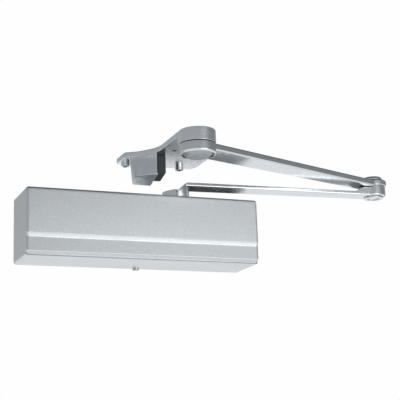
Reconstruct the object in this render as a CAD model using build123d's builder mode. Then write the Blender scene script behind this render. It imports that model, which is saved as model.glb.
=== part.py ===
import os
from math import acos, atan2, cos, degrees, hypot, pi, radians, sin, sqrt, tan

from build123d import *

os.makedirs("parts", exist_ok=True)

# Frame: millimetres, +Z up, +X to the right along the door, +Y into the door.
# The origin is the centre of the four fixing holes, in the face that lies on the door.

# Driving dimensions
cover_length = 312.0
cover_depth = 72.0
cover_height = 86.0
cover_wall = 2.2
fixing_spacing_x = 266.7
fixing_spacing_z = 19.05
fixing_hole_radius = 3.6
bore_radius = 21.0
cylinder_radius = 27.0
fit_gap = 0.05
spindle_x = 54.0
spindle_y = -35.0
spindle_turn = 160.0
main_arm_length = 293.3
main_arm_heading = -4.07
pivot_x = 34.2
pivot_y = -166.0

# Rack and pinion
gear_module = 1.75
gear_teeth = 12
pressure_angle = 25.0
tooth_slack = 0.12
pitch_radius = gear_module * gear_teeth / 2
tip_radius = pitch_radius + gear_module
root_radius = pitch_radius - 1.25 * gear_module
piston_stroke = pitch_radius * radians(spindle_turn)

# Levels of the arms above the body, bottom to top
hub_bottom = 44.0
hub_top = 55.5
arm_bottom = 61.8
arm_top = 67.2
elbow_seam = 76.0
forearm_bottom = 74.5
forearm_top = 84.0
eye_bottom = 76.5
eye_top = 84.7
ring_bottom = 70.5
ring_top = 84.0
boss_bottom = 84.5
plate_bottom = 94.0
plate_top = 101.0
stop_bottom = 68.0

# Stations along the cylinder bore
spring_end = -122.0
valve_end = 120.0
cap_plug = 13.0
piston_left = 24.0
piston_head = 16.25
window_left = piston_left + piston_head
window_right = spindle_x + piston_stroke + tip_radius + 1.5
piston_right = window_right + 8.4
seat_left = spring_end + cap_plug + 1.0
seat_thickness = 4.0

elbow_x = spindle_x + main_arm_length * cos(radians(main_arm_heading))
elbow_y = spindle_y + main_arm_length * sin(radians(main_arm_heading))
forearm_length = hypot(elbow_x - pivot_x, elbow_y - pivot_y)
forearm_heading = degrees(atan2(elbow_y - pivot_y, elbow_x - pivot_x))

spindle_axis = Plane(origin=(spindle_x, spindle_y, 0))
elbow_axis = Plane(origin=(elbow_x, elbow_y, 0))
pivot_axis = Plane(origin=(pivot_x, pivot_y, 0))


def along(origin, heading):
    """Upright plane whose x runs at the heading from the origin and whose y is up."""
    course = radians(heading)
    return Plane(
        origin=origin,
        x_dir=(cos(course), sin(course), 0),
        z_dir=(sin(course), -cos(course), 0),
    )


def laid(origin, heading):
    """Level plane at the origin with its x turned to the heading."""
    course = radians(heading)
    return Plane(origin=origin, x_dir=(cos(course), sin(course), 0), z_dir=(0, 0, 1))


def bore_plane(x):
    """Plane across the cylinder bore at x: its x is the row's Y, its y is up."""
    return Plane(origin=(x, spindle_y, 0), x_dir=(0, 1, 0), z_dir=(1, 0, 0))


# Cylinder body: cast, with a saddle and lugs against the door.
# The bore runs along X; the pinion boss crosses it along Z.
saddle_left = -112.0
saddle_right = 108.0
saddle_half_height = 29.5
lug_end = 147.0
lug_half_height = 18.0
lug_thickness = 10.0
boss_radius = 22.0
boss_half_height = 38.0
shaft_bore_radius = 15.0
valve_radius = 4.0
valve_depth = 22.0
valve_y = -12.5
valve_z = 22.6
backcheck_x = 20.0
backcheck_y = -8.5
bracket_x = 6.3

with BuildPart() as cylinder_body:
    with BuildSketch(bore_plane(spring_end)):
        Circle(cylinder_radius)
    extrude(amount=valve_end - spring_end)
    with BuildSketch(Plane.YZ.offset(saddle_left)):
        with Locations((spindle_y / 2, 0)):
            Rectangle(-spindle_y, 2 * saddle_half_height)
    extrude(amount=saddle_right - saddle_left)
    with BuildSketch(spindle_axis.offset(-boss_half_height)):
        Circle(boss_radius)
    extrude(amount=2 * boss_half_height)
    with BuildSketch(Plane.XZ):
        RectangleRounded(2 * lug_end, 2 * lug_half_height, 6)
    extrude(amount=lug_thickness)
    with BuildSketch(bore_plane(spring_end)):
        Circle(bore_radius)
    extrude(amount=valve_end - spring_end, mode=Mode.SUBTRACT)
    with BuildSketch(spindle_axis.offset(-boss_half_height)):
        Circle(shaft_bore_radius)
    extrude(amount=2 * boss_half_height, mode=Mode.SUBTRACT)
    with BuildSketch(Plane.XZ):
        with GridLocations(fixing_spacing_x, fixing_spacing_z, 2, 2):
            Circle(fixing_hole_radius)
    extrude(amount=lug_thickness, mode=Mode.SUBTRACT)
    with BuildSketch(Plane.YZ.offset(saddle_right)):
        with Locations((valve_y, valve_z), (valve_y, -valve_z)):
            Circle(valve_radius)
    extrude(amount=-valve_depth, mode=Mode.SUBTRACT)
    with BuildSketch(Plane.XY.offset(-saddle_half_height)):
        with Locations((backcheck_x, backcheck_y)):
            Circle(valve_radius)
    extrude(amount=valve_depth, mode=Mode.SUBTRACT)
    with BuildSketch(Plane.XY.offset(-saddle_half_height)):
        with Locations((bracket_x, -26)):
            Circle(2)
    extrude(amount=5, mode=Mode.SUBTRACT)
cylinder_body.part.label = "cylinder_body"
export_step(cylinder_body.part, "parts/cylinder_body.step")


# End caps: a plug in the bore with a groove for its ring, and a flange outside.
plug_radius = bore_radius - 0.02
flange_radius = 24.0
flange_thickness = 5.0
ring_thickness = 1.3
ring_middle = plug_radius - ring_thickness


def cap_profile(start, outward):
    """Half section of a cap: the plug from start, the flange beyond it."""
    groove_floor = plug_radius - 2 * ring_thickness
    groove_half = ring_thickness + 0.1
    middle = start + outward * cap_plug / 2
    shoulder = start + outward * cap_plug
    face = shoulder + outward * flange_thickness
    Polyline(
        (start, 0),
        (start, plug_radius),
        (middle - outward * groove_half, plug_radius),
        (middle - outward * groove_half, groove_floor),
        (middle + outward * groove_half, groove_floor),
        (middle + outward * groove_half, plug_radius),
        (shoulder, plug_radius),
        (shoulder, flange_radius),
        (face - outward, flange_radius),
        (face, flange_radius - 1),
        (face, 0),
        close=True,
    )


bore_axis_plane = Plane(origin=(0, spindle_y, 0), x_dir=(1, 0, 0), z_dir=(0, -1, 0))
bore_axis = Axis((0, spindle_y, 0), (1, 0, 0))
power_screw_radius = 4.0

with BuildPart() as spring_end_cap:
    with BuildSketch(bore_axis_plane):
        with BuildLine():
            cap_profile(spring_end + cap_plug, -1)
        make_face()
    revolve(axis=bore_axis)
    with BuildSketch(bore_plane(spring_end - flange_thickness)):
        Circle(power_screw_radius + fit_gap)
    extrude(amount=flange_thickness + cap_plug, mode=Mode.SUBTRACT)
spring_end_cap.part.label = "spring_end_cap"
export_step(spring_end_cap.part, "parts/spring_end_cap.step")

with BuildPart() as valve_end_cap:
    with BuildSketch(bore_axis_plane):
        with BuildLine():
            cap_profile(valve_end - cap_plug, 1)
        make_face()
    revolve(axis=bore_axis)
    with BuildSketch(bore_plane(valve_end + flange_thickness)):
        RegularPolygon(8, 6)
    extrude(amount=-4, mode=Mode.SUBTRACT)
valve_end_cap.part.label = "valve_end_cap"
export_step(valve_end_cap.part, "parts/valve_end_cap.step")


def seal_ring(x):
    """Round rubber ring in a cap's groove."""
    with BuildSketch(bore_axis_plane) as section:
        with Locations((x, ring_middle)):
            Circle(ring_thickness)
    revolve(section.sketch, axis=bore_axis)


with BuildPart() as spring_end_seal:
    seal_ring(spring_end + cap_plug / 2)
spring_end_seal.part.label = "spring_end_seal"
export_step(spring_end_seal.part, "parts/spring_end_seal.step")

with BuildPart() as valve_end_seal:
    seal_ring(valve_end - cap_plug / 2)
valve_end_seal.part.label = "valve_end_seal"
export_step(valve_end_seal.part, "parts/valve_end_seal.step")

# Power screw: turned from outside, it draws the spring seat along the bore.
power_screw_tip = -84.0
power_head_left = spring_end - flange_thickness - 6

with BuildPart() as power_screw:
    with BuildSketch(bore_plane(spring_end - flange_thickness - 0.2)):
        Circle(power_screw_radius)
    extrude(amount=power_screw_tip - spring_end + flange_thickness + 0.2)
    with BuildSketch(bore_plane(power_head_left)):
        RegularPolygon(7.5, 6)
    extrude(amount=5.8)
power_screw.part.label = "power_screw"
export_step(power_screw.part, "parts/power_screw.step")

with BuildPart() as spring_seat:
    with BuildSketch(bore_plane(seat_left)):
        Circle(bore_radius - fit_gap)
    extrude(amount=seat_thickness)
    with BuildSketch(bore_plane(seat_left)):
        Circle(7.2)
    extrude(amount=seat_thickness + 6)
    with BuildSketch(bore_plane(seat_left)):
        Circle(power_screw_radius + fit_gap)
    extrude(amount=seat_thickness + 6, mode=Mode.SUBTRACT)
spring_seat.part.label = "spring_seat"
export_step(spring_seat.part, "parts/spring_seat.step")


# Springs: two nested coils of opposite hand between the seat and the piston.
def coil_spring(mean_radius, wire_radius, turns, left_hand):
    """Round wire wound along the bore from the seat to the piston head."""
    start = seat_left + seat_thickness + wire_radius + 0.1
    height = piston_left - wire_radius - 0.1 - start
    with BuildLine() as coil:
        Helix(
            height / turns,
            height,
            mean_radius,
            center=(start, spindle_y, 0),
            direction=(1, 0, 0),
            lefthand=left_hand,
        )
    with BuildSketch(Plane(origin=coil.line @ 0, z_dir=coil.line % 0)) as wire:
        Circle(wire_radius)
    sweep(wire.sketch, path=coil.line, is_frenet=True)


with BuildPart() as outer_spring:
    coil_spring(16.4, 2.8, 11, False)
outer_spring.part.label = "outer_spring"
export_step(outer_spring.part, "parts/outer_spring.step")

with BuildPart() as inner_spring:
    coil_spring(10.3, 1.7, 16, True)
inner_spring.part.label = "inner_spring"
export_step(inner_spring.part, "parts/inner_spring.step")

# Piston: its window clears the shaft, and a rack is cut along the window's front wall.
rack_pitch = pi * gear_module
pitch_line_y = spindle_y - pitch_radius
rack_root_y = pitch_line_y - 1.25 * gear_module
window_back_y = spindle_y + tip_radius + 1.2
rack_half_height = 16.5
rack_teeth = int((window_right - window_left) / rack_pitch) + 2


def rack_tooth(x):
    """Straight-sided rack tooth centred at x, as deep as the pinion's own teeth."""
    half_pitch_line = rack_pitch / 4 - tooth_slack / 2
    lean = tan(radians(pressure_angle))
    tip_half = half_pitch_line - gear_module * lean
    root_half = half_pitch_line + 1.25 * gear_module * lean
    Polyline(
        (x - root_half, rack_root_y),
        (x - tip_half, pitch_line_y + gear_module),
        (x + tip_half, pitch_line_y + gear_module),
        (x + root_half, rack_root_y),
        close=True,
    )


with BuildPart() as piston:
    with BuildSketch(bore_plane(piston_left)):
        Circle(bore_radius - fit_gap)
    extrude(amount=piston_right - piston_left)
    with BuildSketch(Plane.XY):
        with Locations(((window_left + window_right) / 2, (rack_root_y + window_back_y) / 2)):
            Rectangle(window_right - window_left, window_back_y - rack_root_y)
    extrude(amount=bore_radius, both=True, mode=Mode.SUBTRACT)
    with BuildSketch(bore_plane(window_right)):
        Circle(2)
    extrude(amount=piston_right - window_right, mode=Mode.SUBTRACT)
    with BuildSketch(bore_plane(piston_right)):
        Circle(3)
    extrude(amount=-7.5, mode=Mode.SUBTRACT)
    with BuildSketch(Plane.XY):
        for index in range(-rack_teeth, rack_teeth + 1):
            tooth_x = spindle_x + (index + 0.5) * rack_pitch
            if window_left + 3 < tooth_x < window_right - 3:
                with BuildLine():
                    rack_tooth(tooth_x)
                make_face()
    extrude(amount=rack_half_height, both=True)
piston.part.label = "piston"
export_step(piston.part, "parts/piston.step")

with BuildPart(bore_plane(piston_right - 4.6)) as check_ball:
    Sphere(2.85)
check_ball.part.label = "check_ball"
export_step(check_ball.part, "parts/check_ball.step")

with BuildPart() as check_retainer:
    with BuildSketch(bore_plane(piston_right - 1.6)):
        Circle(3)
        Circle(1.8, mode=Mode.SUBTRACT)
    extrude(amount=1.4)
check_retainer.part.label = "check_retainer"
export_step(check_retainer.part, "parts/check_retainer.step")

# Pinion shaft: journals above and below the teeth, a square at the top for the arm.
journal_radius = 9.0
gear_half_height = 19.5
square_size = 14.0
shaft_bottom = -38.5
base_radius = pitch_radius * cos(radians(pressure_angle))


def involute_angle(radius):
    """Polar angle in radians that the involute has turned through at a radius."""
    turned = sqrt((radius / base_radius) ** 2 - 1)
    return turned - acos(base_radius / radius)


def flank_point(radius, side):
    """Point of a tooth's flank at a radius, the tooth centred on the x axis."""
    half_pitch_angle = (pi / 2 - tooth_slack / gear_module) / gear_teeth
    half = half_pitch_angle + involute_angle(pitch_radius) - involute_angle(max(radius, base_radius))
    return (radius * cos(half), side * radius * sin(half))


def gear_tooth():
    """Outline of one involute tooth, from inside the root circle to the tip."""
    radii = [base_radius + (tip_radius - base_radius) * step / 4 for step in range(5)]
    upper = [flank_point(radius, 1) for radius in radii]
    lower = [flank_point(radius, -1) for radius in radii]
    foot_upper = flank_point(root_radius - 1, 1)
    foot_lower = flank_point(root_radius - 1, -1)
    Line(foot_upper, upper[0])
    Spline(*upper)
    ThreePointArc(upper[-1], (tip_radius, 0), lower[-1])
    Spline(*lower)
    Line(lower[0], foot_lower)
    Line(foot_lower, foot_upper)


with BuildPart() as pinion_shaft:
    with BuildSketch(spindle_axis.offset(-gear_half_height)):
        Circle(root_radius)
        with PolarLocations(0, gear_teeth, start_angle=-90):
            with BuildSketch(mode=Mode.PRIVATE) as tooth:
                with BuildLine():
                    gear_tooth()
                make_face()
            add(tooth.sketch)
    extrude(amount=2 * gear_half_height)
    with BuildSketch(spindle_axis.offset(shaft_bottom)):
        Circle(journal_radius)
    extrude(amount=-shaft_bottom - gear_half_height)
    with BuildSketch(spindle_axis.offset(gear_half_height)):
        Circle(journal_radius)
    extrude(amount=hub_bottom - gear_half_height)
    with BuildSketch(laid((spindle_x, spindle_y, hub_bottom), main_arm_heading)):
        Rectangle(square_size, square_size)
    extrude(amount=hub_top - 0.5 - hub_bottom)
    with BuildSketch(spindle_axis.offset(hub_top - 0.5)):
        Circle(4)
    extrude(amount=-18, mode=Mode.SUBTRACT)
pinion_shaft.part.label = "pinion_shaft"
export_step(pinion_shaft.part, "parts/pinion_shaft.step")

# Shaft bearings, lip seals and threaded retaining nuts, above and below the pinion.
sleeve_radius = shaft_bore_radius - 0.02
bearing_near = 21.5
bearing_far = 29.5
seal_far = 32.5
nut_far = 37.5


def shaft_ring(near, far, inner_radius, side):
    """Ring around the shaft between two heights, above (side 1) or below (-1)."""
    with BuildSketch(spindle_axis.offset(side * near)) as section:
        Circle(sleeve_radius)
        Circle(inner_radius, mode=Mode.SUBTRACT)
    extrude(section.sketch, amount=side * (far - near))


def spanner_holes(side):
    """Two blind holes for the pin spanner that tightens a retaining nut."""
    with BuildSketch(spindle_axis.offset(side * nut_far)) as holes:
        with PolarLocations(12.2, 2):
            Circle(1.4)
    extrude(holes.sketch, amount=-side * 3, mode=Mode.SUBTRACT)


with BuildPart() as upper_bearing:
    shaft_ring(bearing_near, bearing_far, journal_radius + fit_gap, 1)
upper_bearing.part.label = "upper_bearing"
export_step(upper_bearing.part, "parts/upper_bearing.step")

with BuildPart() as lower_bearing:
    shaft_ring(bearing_near, bearing_far, journal_radius + fit_gap, -1)
lower_bearing.part.label = "lower_bearing"
export_step(lower_bearing.part, "parts/lower_bearing.step")

with BuildPart() as upper_seal:
    shaft_ring(bearing_far + 0.1, seal_far - 0.1, journal_radius + fit_gap, 1)
upper_seal.part.label = "upper_seal"
export_step(upper_seal.part, "parts/upper_seal.step")

with BuildPart() as lower_seal:
    shaft_ring(bearing_far + 0.1, seal_far - 0.1, journal_radius + fit_gap, -1)
lower_seal.part.label = "lower_seal"
export_step(lower_seal.part, "parts/lower_seal.step")

with BuildPart() as upper_bearing_nut:
    shaft_ring(seal_far, nut_far, journal_radius + 0.5, 1)
    spanner_holes(1)
upper_bearing_nut.part.label = "upper_bearing_nut"
export_step(upper_bearing_nut.part, "parts/upper_bearing_nut.step")

with BuildPart() as lower_bearing_nut:
    shaft_ring(seal_far, nut_far, journal_radius + 0.5, -1)
    spanner_holes(-1)
lower_bearing_nut.part.label = "lower_bearing_nut"
export_step(lower_bearing_nut.part, "parts/lower_bearing_nut.step")


# Regulating valves: slotted screws with a needle tip and a ring in a groove.
valve_shank = valve_radius - fit_gap
valve_ring_thickness = 0.9
valve_ring_place = 5.0


def valve_screw(mouth):
    """Valve in a bore whose mouth is the plane's origin, the plane's z pointing out."""
    groove_floor = valve_shank - 2 * valve_ring_thickness
    groove_low = -valve_ring_place - valve_ring_thickness - 0.1
    groove_high = -valve_ring_place + valve_ring_thickness + 0.1
    side = Plane(origin=mouth.origin, x_dir=mouth.x_dir, z_dir=-mouth.y_dir)
    with BuildSketch(side) as section:
        with BuildLine():
            Polyline(
                (0, 3),
                (3.8, 3),
                (4.4, 2.4),
                (4.4, 0.3),
                (valve_shank, 0.3),
                (valve_shank, groove_high),
                (groove_floor, groove_high),
                (groove_floor, groove_low),
                (valve_shank, groove_low),
                (valve_shank, -16),
                (0.6, 0.5 - valve_depth),
                (0, 0.5 - valve_depth),
                close=True,
            )
        make_face()
    revolve(section.sketch, axis=Axis(mouth.origin, mouth.z_dir))
    with BuildSketch(mouth.offset(3)) as slot:
        Rectangle(11, 1.4)
    extrude(slot.sketch, amount=-1.6, mode=Mode.SUBTRACT)


def valve_ring(mouth):
    """Rubber ring in the valve's groove."""
    side = Plane(origin=mouth.origin, x_dir=mouth.x_dir, z_dir=-mouth.y_dir)
    with BuildSketch(side) as section:
        with Locations((valve_shank - valve_ring_thickness, -valve_ring_place)):
            Circle(valve_ring_thickness)
    revolve(section.sketch, axis=Axis(mouth.origin, mouth.z_dir))


sweep_mouth = Plane(origin=(saddle_right, valve_y, valve_z), x_dir=(0, 1, 0), z_dir=(1, 0, 0))
latch_mouth = Plane(origin=(saddle_right, valve_y, -valve_z), x_dir=(0, 1, 0), z_dir=(1, 0, 0))
backcheck_mouth = Plane(
    origin=(backcheck_x, backcheck_y, -saddle_half_height),
    x_dir=(1, 0, 0),
    z_dir=(0, 0, -1),
)

with BuildPart() as sweep_valve:
    valve_screw(sweep_mouth)
sweep_valve.part.label = "sweep_valve"
export_step(sweep_valve.part, "parts/sweep_valve.step")

with BuildPart() as latch_valve:
    valve_screw(latch_mouth)
latch_valve.part.label = "latch_valve"
export_step(latch_valve.part, "parts/latch_valve.step")

with BuildPart() as backcheck_valve:
    valve_screw(backcheck_mouth)
backcheck_valve.part.label = "backcheck_valve"
export_step(backcheck_valve.part, "parts/backcheck_valve.step")

with BuildPart() as sweep_valve_ring:
    valve_ring(sweep_mouth)
sweep_valve_ring.part.label = "sweep_valve_ring"
export_step(sweep_valve_ring.part, "parts/sweep_valve_ring.step")

with BuildPart() as latch_valve_ring:
    valve_ring(latch_mouth)
latch_valve_ring.part.label = "latch_valve_ring"
export_step(latch_valve_ring.part, "parts/latch_valve_ring.step")

with BuildPart() as backcheck_valve_ring:
    valve_ring(backcheck_mouth)
backcheck_valve_ring.part.label = "backcheck_valve_ring"
export_step(backcheck_valve_ring.part, "parts/backcheck_valve_ring.step")

# Cover: one shell open towards the door. Its front is stepped: the upper panel
# stands out to a rounded lip, and the lower panel starts again further back.
lip_z = -15.4
step_z = -21.3
step_back = 2.0
end_rounding = 2.6
notch_half_width = 14.0
screw_slot_half_width = 2.6
cover_screw_y = -4.6


def cover_outline(back):
    """Section of the cover's outside, from the back line round the stepped front."""
    half = cover_height / 2
    top = Line((back, half), (-cover_depth + 3.4, half))
    brow = RadiusArc(top @ 1, (-cover_depth + 1.4, half - 2), -2)
    upper = Line(brow @ 1, (-cover_depth, lip_z + 2))
    lip = Line(upper @ 1, (-cover_depth + 0.6, lip_z))
    under = Line(lip @ 1, (-cover_depth + 0.4 + step_back, step_z))
    lower = Line(under @ 1, (-cover_depth + 0.3, 4.5 - half))
    chin = RadiusArc(lower @ 1, (-cover_depth + 4.3, -half), -4.2)
    Polyline(chin @ 1, (back, -half), top @ 0)


with BuildPart() as cover:
    with BuildSketch(Plane.YZ.offset(-cover_length / 2)):
        with BuildLine():
            cover_outline(0)
        make_face()
    extrude(amount=cover_length)
    end_faces = cover.faces().filter_by(Axis.X)
    end_edges = end_faces.edges().filter_by(lambda edge: abs(edge.center().Y) > 1)
    fillet(end_edges, radius=end_rounding)
    with BuildSketch(Plane.YZ.offset(cover_wall - cover_length / 2)):
        with BuildLine():
            cover_outline(cover_wall + 1)
        make_face()
        offset(amount=-cover_wall, kind=Kind.INTERSECTION)
    extrude(amount=cover_length - 2 * cover_wall, mode=Mode.SUBTRACT)
    with BuildSketch(Plane.XY.offset(cover_height / 2 - 2 * cover_wall)):
        with Locations((spindle_x, spindle_y)):
            Circle(notch_half_width)
        with Locations((spindle_x, spindle_y / 2)):
            Rectangle(2 * notch_half_width, -spindle_y)
    extrude(amount=3 * cover_wall, mode=Mode.SUBTRACT)
    with BuildSketch(Plane.XY.offset(-cover_height / 2 - cover_wall)):
        with Locations((bracket_x, cover_screw_y)):
            Circle(screw_slot_half_width)
        with Locations((bracket_x, cover_screw_y / 2)):
            Rectangle(2 * screw_slot_half_width, -cover_screw_y)
    extrude(amount=3 * cover_wall, mode=Mode.SUBTRACT)
cover.part.label = "cover"
export_step(cover.part, "parts/cover.step")

# Cover bracket: bent strip under the saddle that takes the cover's screw.
bracket_half_width = 11.0
bracket_thickness = 2.5
bracket_tab_top = 0.25 - cover_height / 2 + cover_wall + bracket_thickness
bracket_front = -34.0

with BuildPart() as cover_bracket:
    with BuildSketch(Plane.YZ.offset(bracket_x - bracket_half_width)):
        with BuildLine():
            Polyline(
                (-0.5, bracket_tab_top),
                (-0.5, bracket_tab_top - bracket_thickness),
                (-18, bracket_tab_top - bracket_thickness),
                (-18, -saddle_half_height - bracket_thickness),
                (bracket_front, -saddle_half_height - bracket_thickness),
                (bracket_front, -saddle_half_height),
                (-18 + bracket_thickness, -saddle_half_height),
                (-18 + bracket_thickness, bracket_tab_top),
                close=True,
            )
        make_face()
    extrude(amount=2 * bracket_half_width)
    with BuildSketch(Plane.XY.offset(-cover_height / 2)):
        with Locations((bracket_x, cover_screw_y)):
            Circle(2)
    extrude(amount=10, mode=Mode.SUBTRACT)
    with BuildSketch(Plane.XY.offset(-saddle_half_height - bracket_thickness)):
        with Locations((bracket_x, -26)):
            Circle(2)
    extrude(amount=bracket_thickness, mode=Mode.SUBTRACT)
cover_bracket.part.label = "cover_bracket"
export_step(cover_bracket.part, "parts/cover_bracket.step")


def pan_screw(x, y, seat, head_radius, head_height, shank_radius, shank_length, up):
    """Slotted pan-head screw: the head stands on the seat, the shank goes the up way."""
    with BuildSketch(Plane.XY.offset(seat)) as shank:
        with Locations((x, y)):
            Circle(shank_radius)
    extrude(shank.sketch, amount=up * shank_length)
    with BuildSketch(Plane.XY.offset(seat)) as head:
        with Locations((x, y)):
            Circle(head_radius)
    extrude(head.sketch, amount=-up * head_height)
    with BuildSketch(Plane.XY.offset(seat - up * head_height)) as slot:
        with Locations((x, y)):
            Rectangle(3 * head_radius, 1.2)
    extrude(slot.sketch, amount=up * head_height / 2, mode=Mode.SUBTRACT)


with BuildPart() as cover_screw:
    pan_screw(bracket_x, cover_screw_y, -cover_height / 2 - 0.05, 4.2, 2.4, 1.98, 9, 1)
cover_screw.part.label = "cover_screw"
export_step(cover_screw.part, "parts/cover_screw.step")

with BuildPart() as bracket_screw:
    pan_screw(bracket_x, -26, -saddle_half_height - bracket_thickness, 3.8, 2.2, 1.98, 7, 1)
bracket_screw.part.label = "bracket_screw"
export_step(bracket_screw.part, "parts/bracket_screw.step")

# Main arm: forged bar, cranked up from its hub and raised to a boss at the elbow.
hub_radius = 18.0
arm_root_width = 30.0
arm_tip_width = 25.0
elbow_radius = 17.0
ramp_bottom = 34.0
ramp_top = 17.5
ramp_rise = 6.8
main_plan = laid((spindle_x, spindle_y, hub_bottom), main_arm_heading)
main_side = along((spindle_x, spindle_y, 0), main_arm_heading)
bush_radius = 8.5
pin_radius = 6.0
washer_radius = 10.0
washer_thickness = 1.2


def tapered_bar(length, root_width, tip_width):
    """Outline of a bar that narrows evenly from one axis to the next."""
    Polyline(
        (0, root_width / 2),
        (length, tip_width / 2),
        (length, -tip_width / 2),
        (0, -root_width / 2),
        close=True,
    )


with BuildPart() as main_arm:
    with BuildSketch(main_plan.offset(arm_bottom - hub_bottom)):
        with BuildLine():
            tapered_bar(main_arm_length, arm_root_width, arm_tip_width)
        make_face()
    extrude(amount=arm_top - arm_bottom)
    fillet(main_arm.edges().filter_by(lambda edge: edge.length > 150), radius=1.8)
    with BuildSketch(main_plan):
        Circle(hub_radius)
    extrude(amount=arm_top - hub_bottom)
    with BuildSketch(main_side):
        with BuildLine():
            Polyline(
                (-hub_radius - 1, hub_top),
                (-2.5, hub_top),
                (-0.5, hub_top + 0.7),
                (9, arm_top - 2),
                (11, arm_top - 0.6),
                (14, arm_top),
                (14, arm_top + 5),
                (-hub_radius - 1, arm_top + 5),
                close=True,
            )
        make_face()
    extrude(amount=hub_radius + 1, both=True, mode=Mode.SUBTRACT)
    with BuildSketch(elbow_axis.offset(arm_bottom)):
        Circle(elbow_radius)
    extrude(amount=elbow_seam - arm_bottom)
    with BuildSketch(main_side):
        with BuildLine():
            Polyline(
                (main_arm_length - ramp_bottom - 1, arm_top - 1),
                (main_arm_length - ramp_bottom, arm_top),
                (main_arm_length - ramp_top, arm_top + ramp_rise),
                (main_arm_length, arm_top + ramp_rise),
                (main_arm_length, arm_top - 1),
                close=True,
            )
        make_face()
    extrude(amount=arm_tip_width / 2, both=True)
    with BuildSketch(main_plan):
        Rectangle(square_size + 0.04, square_size + 0.04)
    extrude(amount=hub_top - hub_bottom, mode=Mode.SUBTRACT)
    with BuildSketch(spindle_axis.offset(hub_top)):
        Circle(washer_radius + 0.3)
    extrude(amount=arm_top - hub_top, mode=Mode.SUBTRACT)
    with BuildSketch(elbow_axis.offset(arm_bottom)):
        Circle(bush_radius)
    extrude(amount=elbow_seam - arm_bottom, mode=Mode.SUBTRACT)
main_arm.part.label = "main_arm"
export_step(main_arm.part, "parts/main_arm.step")

with BuildPart() as arm_washer:
    with BuildSketch(spindle_axis.offset(hub_top)):
        Circle(washer_radius)
        Circle(4.3, mode=Mode.SUBTRACT)
    extrude(amount=washer_thickness)
arm_washer.part.label = "arm_washer"
export_step(arm_washer.part, "parts/arm_washer.step")

with BuildPart() as arm_screw:
    with BuildSketch(spindle_axis.offset(hub_top + washer_thickness)):
        RegularPolygon(7.5, 6)
    extrude(amount=2.4)
    with BuildSketch(spindle_axis.offset(hub_top - 16)):
        Circle(3.98)
    extrude(amount=16 + washer_thickness)
arm_screw.part.label = "arm_screw"
export_step(arm_screw.part, "parts/arm_screw.step")

with BuildPart() as elbow_bush:
    with BuildSketch(elbow_axis.offset(arm_bottom)):
        Circle(bush_radius - 0.02)
        Circle(pin_radius + fit_gap, mode=Mode.SUBTRACT)
    extrude(amount=elbow_seam - arm_bottom)
elbow_bush.part.label = "elbow_bush"
export_step(elbow_bush.part, "parts/elbow_bush.step")

# Elbow: a headed pin through the forearm and the bush, its end in a pressed collar below.
collar_top = arm_bottom - 0.2
collar_bottom = collar_top - 1.8
collar_radius = 13.5
head_radius = 13.5
head_top = 90.4
head_rounding = 3.0

with BuildPart() as elbow_pin:
    with BuildSketch(Plane(origin=(elbow_x, elbow_y, 0), x_dir=(1, 0, 0), z_dir=(0, -1, 0))):
        with BuildLine():
            crown = RadiusArc(
                (head_radius - head_rounding, head_top),
                (head_radius, head_top - head_rounding),
                head_rounding,
            )
            Polyline(
                crown @ 1,
                (head_radius, eye_top),
                (pin_radius, eye_top),
                (pin_radius, collar_bottom + 0.6),
                (0, collar_bottom + 0.6),
                (0, head_top),
                crown @ 0,
            )
        make_face()
    revolve(axis=Axis((elbow_x, elbow_y, 0), (0, 0, 1)))
elbow_pin.part.label = "elbow_pin"
export_step(elbow_pin.part, "parts/elbow_pin.step")

with BuildPart() as elbow_collar:
    with BuildSketch(elbow_axis.offset(collar_bottom)):
        Circle(collar_radius)
        Circle(pin_radius, mode=Mode.SUBTRACT)
    extrude(amount=collar_top - collar_bottom)
elbow_collar.part.label = "elbow_collar"
export_step(elbow_collar.part, "parts/elbow_collar.step")

with BuildPart() as elbow_washer:
    with BuildSketch(elbow_axis.offset(elbow_seam + 0.05)):
        Circle(15)
        Circle(pin_radius + fit_gap, mode=Mode.SUBTRACT)
    extrude(amount=eye_bottom - elbow_seam - 0.1)
elbow_washer.part.label = "elbow_washer"
export_step(elbow_washer.part, "parts/elbow_washer.step")

# Forearm: forged bar from the shoe's ring to the elbow.
ring_radius = 23.2
ring_recess = 20.6
ring_recess_depth = 5.0
stud_radius = 9.0
pivot_bush_radius = 12.0
forearm_root_width = 39.5
forearm_tip_width = 27.5
eye_radius = 19.0
eye_relief = 19.4
forearm_plan = laid((pivot_x, pivot_y, forearm_bottom), forearm_heading)

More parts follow.
